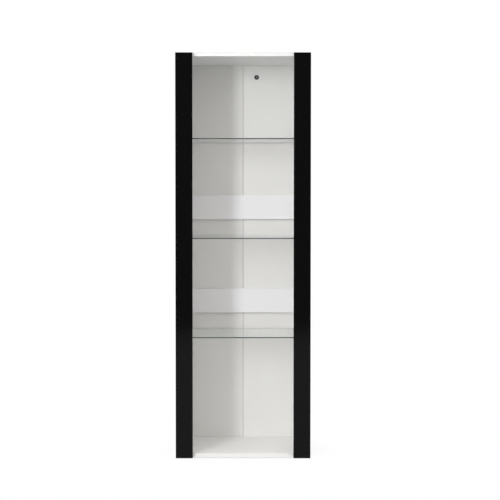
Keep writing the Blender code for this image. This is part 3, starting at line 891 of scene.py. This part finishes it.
class CABINET_OT_pins(bpy.types.Operator):
    """Nickel-plated shelf pins with a collar cut flat under the glass"""

    bl_idname = "cabinet.pins"
    bl_label = "Shelf pins"

    def execute(self, context):
        metal = nickel(context.scene.cabinet_hardware)
        for side, way in (("left", X), ("right", -X)):
            start = f"shelf_pin_lower_front_{side}"
            low, high, middle = centred(start)
            wall = low.x + SHANK_LENGTH if side == "left" else high.x - SHANK_LENGTH
            centre = Vector((wall, middle.y, high.z - SHANK_RADIUS))
            reach = high.x - low.x - SHANK_LENGTH
            first = self.pin(centre, way, reach, high.z)
            pieces = {start: first}
            for shelf in SHELVES:
                for end in ("front", "rear"):
                    node = f"shelf_pin_{shelf}_{end}_{side}"
                    if node != start:
                        pieces[node] = copied(first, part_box(node)[0] - low)
            for node, piece in pieces.items():
                done(piece, "nickel_" + node, "carcass", (metal,), (node,))
        return {"FINISHED"}

    def pin(self, centre, way, reach, top):
        """One pin along an axis: a shank in the wall, a collar on it, and a rounded nose under the glass."""
        chamfer, collar, ease_by = 0.0004, PIN_COLLAR_RADIUS, 0.0003
        profile = [(0, -SHANK_LENGTH), (SHANK_RADIUS - chamfer, -SHANK_LENGTH)]
        profile += [(SHANK_RADIUS, chamfer - SHANK_LENGTH), (SHANK_RADIUS, PLAY)]
        profile += [(collar - ease_by, PLAY), (collar, PLAY + ease_by)]
        profile += [(collar, PIN_COLLAR - ease_by), (collar - ease_by, PIN_COLLAR)]
        profile += [(SHANK_RADIUS, PIN_COLLAR)]
        nose = arc((reach - PIN_NOSE, SHANK_RADIUS - PIN_NOSE), PIN_NOSE, 90, 0, 4)
        profile += [(y, x) for x, y in nose]
        profile += [(0, reach)]
        obj = turn(profile, centre, way, 32)
        choose(obj, "VERT", lambda vert: True)
        bpy.ops.mesh.bisect(plane_co=(centre.x, centre.y, top), plane_no=Z, use_fill=True, clear_outer=True)
        heal()
        return obj


# Door --------------------------------------------------------------------------------------------


class CABINET_OT_stiles(bpy.types.Operator):
    """The two black stiles, grooved for the pane and bored for the hinge cups"""

    bl_idname = "cabinet.stiles"
    bl_label = "Door stiles"

    def execute(self, context):
        door = context.scene.cabinet_door
        finish = lacquer(door)
        seal_low, seal_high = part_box("glazing_seal_left")
        groove_foot = seal_low.y - PLAY
        groove_head = seal_high.y + PLAY
        groove_end = seal_low.x - PLAY
        low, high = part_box("door_stile_left")
        round_edge, swing = door.arris, door.swing
        outline = arc((low.x + round_edge, low.y + round_edge), round_edge, 180, 270)
        outline += arc((high.x - round_edge, low.y + round_edge), round_edge, 270, 360)
        outline += [(high.x, groove_foot), (groove_end, groove_foot)]
        outline += [(groove_end, groove_head), (high.x, groove_head)]
        outline += arc((high.x - round_edge, high.y - round_edge), round_edge, 0, 90)
        outline += arc((low.x + swing, high.y - swing), swing, 90, 180, 8)
        mirrored = [(-x, y) for x, y in reversed(outline)]
        for side, points in (("left", outline), ("right", mirrored)):
            node = "door_stile_" + side
            piece = draw(points, X, Y, Z * (high.z - low.z), Z * low.z)
            ease(piece, 0.0005, lambda edge: abs((edge.verts[0].co - edge.verts[1].co).z) < 1e-6)
            if side == "left":
                for number in HINGES:
                    carve(piece, cup_disc(number))
            done(piece, side + "_door_stile", "door", (finish,), (node,))
        seal = rubber("black_epdm_seal", door.seal)
        for side in ("left", "right"):
            finish_node("glazing_seal_" + side, seal)
        return {"FINISHED"}


def cup_disc(number):
    """A rod that fills a hinge cup's bore with a little play, out past the door's back."""
    low, high, middle = centred(f"hinge_{number}_cup")
    return rod((middle.x, low.y, middle.z), Y, (high.x - low.x) / 2 + PLAY, -PLAY, 0.03)


class CABINET_OT_pane(bpy.types.Operator):
    """The clear pane of the door, with ground edges"""

    bl_idname = "cabinet.pane"
    bl_label = "Door pane"

    def execute(self, context):
        glass = context.scene.cabinet_glass
        clear = see_through("clear_float_glass_door", glass.tint, glass.tint, glass.tint)
        low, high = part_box("door_glass")
        piece = ease(start_box(low, high), glass.arris, segments=3)
        done(piece, "door_pane", "door", (clear, ground_edge(glass)), ("door_glass",))
        paint(piece, 1, lambda middle, normal: abs(normal.y) < 0.9)
        return {"FINISHED"}


# Hinges ------------------------------------------------------------------------------------------


def screw_head(centre, axis, radius, height, recess):
    """A pan-head screw with a cross recess."""
    profile = [(0, 0), (radius, 0), (radius, height * 0.35)]
    profile += [(radius * 0.82, height * 0.78), (radius * 0.5, height), (0, height)]
    head = turn(profile, centre, axis, 28)
    top = Vector(centre) + axis * height
    return carve(head, *cross_slot(top, axis, height * 0.6, recess, recess * 0.26))


def screws(places, axis, sizes):
    """Screw heads at several places, as one piece."""
    return gather([screw_head(place, axis, *sizes) for place in places])


class CABINET_OT_hinges(bpy.types.Operator):
    """Concealed hinges: pressed cups in the door, goose-necked arms, cross plates and their screws"""

    bl_idname = "cabinet.hinges"
    bl_label = "Hinges"

    def execute(self, context):
        metal = nickel(context.scene.cabinet_hardware)
        bright = zinc(context.scene.cabinet_hardware)
        kinds = {
            "cup": (self.cup(), "door", metal),
            "pin": (self.pin(), "door", metal),
            "arm": (self.arm(), "carcass", metal),
            "plate": (self.plate(), "carcass", metal),
        }
        heads = {
            "cup_screws": (self.cup_screws(), "door"),
            "plate_screws": (self.plate_screws(), "carcass"),
            "arm_screws": (self.arm_screws(), "carcass"),
        }
        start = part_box("hinge_1_pin")[0]
        for number in reversed(HINGES):
            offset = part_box(f"hinge_{number}_pin")[0] - start
            for kind, (first, body, material) in kinds.items():
                piece = first if number == 1 else copied(first, offset)
                node = f"hinge_{number}_{kind}"
                done(piece, f"pressed_{node}", body, (material,), (node,))
            for kind, (first, body) in heads.items():
                piece = first if number == 1 else copied(first, offset)
                done(piece, f"hinge_{number}_{kind}", body, (bright,))
        return {"FINISHED"}

    def pivot(self):
        return centred("hinge_1_pin")[2]

    def cup(self):
        low, high, middle = centred("hinge_1_cup")
        radius = (high.x - low.x) / 2
        centre = Vector((middle.x, low.y, middle.z))
        depth = high.y - low.y
        wall, bend, rim = CUP_WALL, CUP_BEND, CUP_RIM
        profile = [(0, 0)] + arc((radius - bend, bend), bend, 270, 360, 5)
        profile += [(radius, depth - rim), (radius - 0.0002, depth)]
        profile += [(radius - wall - rim, depth), (radius - wall, depth - rim)]
        profile += arc((radius - bend, bend), bend - wall, 360, 270, 5) + [(0, wall)]
        shell = turn(profile, centre, Y, 64)
        half_long = (high.z - low.z) / 2
        corner = Vector((CUP_FLANGE_HALF_WIDTH, half_long))
        plate = rounded(centre.xz - corner, centre.xz + corner, CUP_FLANGE_ROUND)
        flange = draw(plate, X, Z, Y * wall, Y * (high.y - wall))
        carve(flange, rod((centre.x, high.y, centre.z), Y, radius - wall, -4 * wall, 4 * wall))
        ease(flange, 0.0003, lambda edge: all(vert.co.y > high.y - 1e-5 for vert in edge.verts), segments=2)
        carve(shell, flange, operation="UNION")
        pivot = self.pivot()
        for side in (-1, 1):
            foot, head = sorted(pivot.z + side * reach for reach in (LUG_START, LUG_END))
            lug = start_box(
                (pivot.x - LUG_HALF_WIDTH, low.y + wall / 2, foot),
                (pivot.x + LUG_HALF_WIDTH, pivot.y + LUG_OVER_PIN, head),
            )
            ease(lug, LUG_ROUND, lambda edge: along(Z)(edge) and edge.verts[0].co.y > pivot.y, segments=5)
            carve(lug, rod(centre, Y, radius - wall / 2, -0.02, 0.02), operation="INTERSECT")
            carve(shell, lug, operation="UNION")
        return shell

    def pin(self):
        low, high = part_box("hinge_1_pin")
        radius, chamfer, half = HINGE_PIN_RADIUS, HINGE_PIN_CHAMFER, (high.z - low.z) / 2
        profile = [(0, -half), (radius - chamfer, -half), (radius, -half + chamfer), (radius, half - chamfer)]
        profile += [(radius - chamfer, half), (0, half)]
        return turn(profile, self.pivot(), Z, 28)

    def arm(self):
        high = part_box("hinge_1_arm")[1]
        pivot = self.pivot()
        half, strip, bend = ARM_HALF_WIDTH, ARM_STRIP, 0.0012
        foot = pivot.y - ARM_UNDER_PIN
        head = foot + strip
        inner = pivot.x + ARM_NECK
        outer = inner + strip
        body_low, body_high = high.x - ARM_BODY, high.x
        shoulder = pivot.y + ARM_SHOULDER
        end = high.y
        outline = [(pivot.x, foot)]
        outline += arc((inner - bend, foot + bend + strip), bend + strip, 270, 360, 6)
        outline += [(outer, shoulder)]
        outline += arc((body_high - 0.001, shoulder + 0.0030), 0.001, 315, 360, 3)
        outline += arc((body_high - 0.002, end - 0.002), 0.002, 0, 90, 4)
        outline += [(body_low, end), (body_low, shoulder + strip), (inner, shoulder)]
        outline += arc((inner - bend, head + bend), bend, 360, 270, 4)
        outline += [(pivot.x, head)]
        strap = draw(outline, X, Y, Z * 2 * half, Z * (pivot.z - half))
        carve(strap, rod(pivot, Z, EYE_RADIUS, -half, half, 40), operation="UNION")
        carve(strap, rod(pivot, Z, EYE_BORE_RADIUS, -2 * half, 2 * half, 32))
        edge_line = body_high - 1e-4
        return ease(strap, bend, lambda edge: along(Y)(edge) and edge.verts[0].co.x > edge_line, segments=3)

    def plate(self):
        low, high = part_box("hinge_1_plate")
        pivot = self.pivot()
        rail, wing = PLATE_RAIL_HALF_WIDTH, high.z - pivot.z
        middle = self.screw_line()
        half = PLATE_WING_HALF_WIDTH
        wings = rounded((middle - half, pivot.z - wing), (middle + half, pivot.z + wing), 0.005)
        spine = rounded((low.y, pivot.z - rail), (high.y, pivot.z + rail), 0.002)
        piece, bar = (draw(outline, Y, Z, X * (high.x - low.x), X * low.x) for outline in (wings, spine))
        carve(piece, bar, operation="UNION")
        return ease(piece, 0.0006, lambda edge: all(vert.co.x > high.x - 1e-5 for vert in edge.verts))

    def screw_line(self):
        """Where the plates' wings are screwed to the side."""
        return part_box("side_panel_left")[0].y + PLATE_SCREW_LINE

    def cup_screws(self):
        high, middle = centred("hinge_1_cup")[1:]
        places = [(middle.x, high.y, middle.z + way * CUP_SCREW_OFFSET) for way in (-1, 1)]
        return screws(places, Y, CUP_SCREW)

    def plate_screws(self):
        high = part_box("hinge_1_plate")[1]
        z = self.pivot().z
        places = [(high.x, self.screw_line(), z + way * PLATE_SCREW_OFFSET) for way in (-1, 1)]
        return screws(places, X, PLATE_SCREW)

    def arm_screws(self):
        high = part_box("hinge_1_arm")[1]
        places = [(high.x, high.y - back, self.pivot().z) for back in ARM_SCREW_SETBACKS]
        return screws(places, X, ARM_SCREW)


# Latch and bumpers -------------------------------------------------------------------------------


class CABINET_OT_latch(bpy.types.Operator):
    """Push latch on the right side, its strike on the door, and the soft bumpers"""

    bl_idname = "cabinet.latch"
    bl_label = "Push latch"

    def execute(self, context):
        hardware = context.scene.cabinet_hardware
        grey = moulded("grey_moulded_latch", hardware.grey)
        bright = zinc(hardware)
        low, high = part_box("latch_housing")
        rod_low, rod_high, axis = centred("latch_plunger")
        self.housing(low, high, axis, grey, bright)
        self.plunger(rod_low, rod_high, axis, (grey, rubber("grey_rubber_tip", hardware.tip)))
        self.strike(axis, nickel(hardware), bright)
        self.bumpers(soft_clear(hardware))
        return {"FINISHED"}

    def housing(self, low, high, axis, grey, bright):
        half = LATCH_HALF_HEIGHT
        body = start_box((low.x, low.y, axis.z - half), (high.x, high.y, axis.z + half))
        ease(body, 0.0018, along(Y), segments=4)
        face = high.x - LATCH_EAR
        plate = rounded((low.y + LATCH_EAR_START, low.z), (high.y - LATCH_EAR_START, high.z), 0.005)
        carve(body, draw(plate, Y, Z, X * LATCH_EAR, X * face), operation="UNION")
        bore, mouth = LATCH_BORE_RADIUS, LATCH_BORE_RADIUS + 0.0006
        shaft = [(0, -LATCH_BORE_DEPTH), (bore, -LATCH_BORE_DEPTH), (bore, bore - mouth)]
        shaft += [(mouth, 0), (mouth, 0.01), (0, 0.01)]
        carve(body, turn(shaft, (axis.x, low.y, axis.z), -Y))
        done(body, "push_latch_housing", "carcass", (grey,), ("latch_housing",))
        places = [(face, (low.y + high.y) / 2, axis.z + way * LATCH_SCREW_OFFSET) for way in (-1, 1)]
        heads = screws(places, -X, LATCH_SCREW)
        done(heads, "push_latch_screws", "carcass", (bright,))

    def plunger(self, low, high, axis, materials):
        radius = (high.x - low.x) / 2
        end = low.y - high.y
        profile = [(0, end), (radius - 0.0004, end), (radius, end + 0.0004), (radius, -0.0052)]
        profile += [(radius - 0.0003, -0.005), (radius - 0.0003, -0.0046), (radius, -0.0044)]
        profile += [(radius, -0.001)] + [(y, x) for x, y in arc((-0.001, radius - 0.001), 0.001, 90, 0, 4)]
        profile += [(0, 0)]
        piece = turn(profile, (axis.x, low.y, axis.z), -Y, 36)
        done(piece, "push_latch_plunger", "latch_plunger", materials, ("latch_plunger",))
        paint(piece, 1, lambda middle, normal: middle.y < low.y + 0.0045)

    def strike(self, axis, metal, bright):
        low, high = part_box("latch_strike_plate")
        radius, thick = (high.x - low.x) / 2, high.y - low.y
        profile = [(0, 0), (radius, 0), (radius, thick - 0.0004)]
        profile += [(radius - 0.0004, thick), (0.0030, thick), (0.0016, thick - 0.0008), (0, thick - 0.0008)]
        piece = turn(profile, (axis.x, low.y, axis.z), Y, 48)
        done(piece, "latch_strike_disc", "door", (metal,), ("latch_strike_plate",))

    def bumpers(self, clear):
        for end in ("bottom", "top"):
            node = "door_bumper_" + end
            low, high, middle = centred(node)
            radius, tall = (high.x - low.x) / 2, high.y - low.y
            profile = [(0, 0), (radius - 0.0002, 0), (radius, 0.0004), (radius, 0.0014)]
            profile += arc((radius - 0.0016, tall - 0.0016), 0.0016, 0, 90, 5) + [(0, tall)]
            piece = turn(profile, (middle.x, low.y, middle.z), Y, 32)
            done(piece, f"soft_{node}", "door", (clear,), (node,))


# Studio ------------------------------------------------------------------------------------------


class CABINET_OT_studio(bpy.types.Operator):
    """Pale floor, soft lights, background and camera"""

    bl_idname = "cabinet.studio"
    bl_label = "Studio"

    def execute(self, context):
        studio = context.scene.cabinet_studio
        self.floor(studio)
        self.background(studio)
        self.key(studio)
        self.camera(studio)
        context.scene.view_settings.view_transform = "Standard"
        context.scene.view_settings.look = "None"
        return {"FINISHED"}

    def floor(self, studio):
        """A round sheet of pale paper that goes over to the bright background away from the cabinet."""
        bpy.ops.object.select_all(action="DESELECT")
        bpy.ops.mesh.primitive_circle_add(vertices=96, radius=9, fill_type="NGON", location=(0, 0, -0.0005))
        bpy.ops.object.transform_apply(location=True, rotation=True, scale=True)
        obj = bpy.context.object
        obj.name = "studio_floor"
        material, tree, shader = start_material("studio_paper", studio.paper, 0.9)
        place = add(tree, "TexCoord").outputs["Object"]
        oval = add(tree, "Mapping", {"Vector": place, "Scale": (0.66, 1, 1)}).outputs["Vector"]
        near = add(tree, "VectorMath", {0: oval}, operation="LENGTH").outputs["Value"]
        far = add(tree, "VectorMath", {0: place}, operation="LENGTH").outputs["Value"]
        strengths = (1.0, studio.bounce, span(tree, far, 0.19, 0.012, 4.4, 6.1))
        white, soft, sheen = (
            add(tree, "Emission", {"Color": (1, 1, 1, 1), "Strength": strength}).outputs["Emission"]
            for strength in strengths
        )
        away = span(tree, near, 0.62, 1, begin=0.0, end=0.30)
        paper = add(tree, "MixShader", {0: away, 1: shader.outputs["BSDF"], 2: white}).outputs["Shader"]
        surface = by_ray(tree, paper, (("Glossy", sheen), ("Diffuse", soft), ("Transmission", paper)))
        tree.links.new(surface, tree.nodes["Material Output"].inputs["Surface"])
        obj.data.materials.append(material)

    def background(self, studio):
        """White to the eye, a soft fill for surfaces, a dark room in reflections and a shaded wall behind."""
        world = bpy.data.worlds.new("studio_world")
        bpy.context.scene.world = world
        world.use_nodes = True
        tree = world.node_tree
        tree.nodes.clear()
        way = add(tree, "SeparateXYZ", {0: add(tree, "TexCoord").outputs["Generated"]}).outputs
        ceiling = span(tree, way["Z"], 0.012, 0.5, begin=0.22, end=0.8)
        ahead = span(tree, way["Z"], studio.fill, studio.fill * 1.32, begin=0.0, end=0.5)
        around = span(tree, way["Y"], ahead, studio.wrap, begin=-0.6, end=0.1)
        lean = span(tree, way["X"], 1.03, 0.90, begin=-0.7, end=0.1)
        around = add(tree, "Math", {0: around, 1: lean}, operation="MULTIPLY").outputs["Value"]
        behind = span(tree, way["Y"], 1, 0.22, begin=0.96, end=0.98)
        warm, plain = (1.0, 0.975, 0.94, 1), (1, 1, 1, 1)
        fill, room, through, white = (
            add(tree, "Background", {"Color": tone, "Strength": strength}).outputs["Background"]
            for tone, strength in ((warm, around), (plain, ceiling), (plain, behind), (plain, 1.0))
        )
        light = by_ray(tree, fill, (("Glossy", room), ("Transmission", through), ("Camera", white)))
        output = add(tree, "OutputWorld", {"Surface": light})
        output.is_active_output = True

    def key(self, studio):
        """A tall soft box in front of the cabinet, to its left and a little above its middle."""
        low, high = (Vector(corner) for corner in CAD_BOX)
        aim = Vector((0, low.y, (low.z + high.z) / 2))
        flat = math.cos(studio.key_height)
        direction = Vector((-math.sin(studio.key_azimuth) * flat, -math.cos(studio.key_azimuth) * flat, 0))
        direction.z = math.sin(studio.key_height)
        light = bpy.data.lights.new("soft_box", "AREA")
        light.shape = "RECTANGLE"
        light.size = studio.key_width
        light.size_y = studio.key_tall
        light.energy = studio.key
        light.color = (0.985, 0.99, 1.0)
        lamp = bpy.data.objects.new("soft_box", light)
        bpy.context.scene.collection.objects.link(lamp)
        lamp.location = aim + direction * studio.key_distance
        lamp.rotation_euler = (-direction).to_track_quat("-Z", "Y").to_euler()

    def camera(self, studio):
        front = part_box("side_panel_left")[0].y
        data = bpy.data.cameras.new("camera")
        data.lens = studio.lens * 1000
        data.shift_x = studio.sideways
        data.shift_y = -studio.downward
        data.dof.use_dof = False
        camera = bpy.data.objects.new("camera", data)
        bpy.context.scene.collection.objects.link(camera)
        camera.location = (0, front - studio.distance, studio.eye)
        camera.rotation_euler = (math.pi / 2 - studio.tilt, 0, 0)
        bpy.context.scene.camera = camera


class CABINET_PT_pieces(bpy.types.Panel):
    """The cabinet's pieces, in the order that they are made"""

    bl_label = "Cabinet"
    bl_idname = "CABINET_PT_pieces"
    bl_space_type = "VIEW_3D"
    bl_region_type = "UI"
    bl_category = "Cabinet"

    def draw(self, context):
        for operator in OPERATORS:
            self.layout.operator(operator.bl_idname)
        for group in GROUPS:
            box = self.layout.box()
            settings = getattr(context.scene, group)
            for name in settings.__annotations__:
                box.prop(settings, name)


GROUPS = {
    "cabinet_boards": CabinetBoards,
    "cabinet_door": CabinetDoor,
    "cabinet_glass": CabinetGlass,
    "cabinet_hardware": CabinetHardware,
    "cabinet_studio": CabinetStudio,
}
OPERATORS = (
    CABINET_OT_carcass,
    CABINET_OT_back,
    CABINET_OT_grommet,
    CABINET_OT_glides,
    CABINET_OT_shelves,
    CABINET_OT_pins,
    CABINET_OT_stiles,
    CABINET_OT_pane,
    CABINET_OT_hinges,
    CABINET_OT_latch,
    CABINET_OT_studio,
)


def register():
    for group in (*GROUPS.values(), *OPERATORS, CABINET_PT_pieces):
        bpy.utils.register_class(group)
    for name, group in GROUPS.items():
        setattr(bpy.types.Scene, name, bpy.props.PointerProperty(type=group))


def unregister():
    for name in GROUPS:
        delattr(bpy.types.Scene, name)
    for group in reversed((*GROUPS.values(), *OPERATORS, CABINET_PT_pieces)):
        bpy.utils.unregister_class(group)


def main():
    register()
    for operator in OPERATORS:
        family, name = operator.bl_idname.split(".")
        getattr(getattr(bpy.ops, family), name)()


if __name__ == "__main__":
    main()
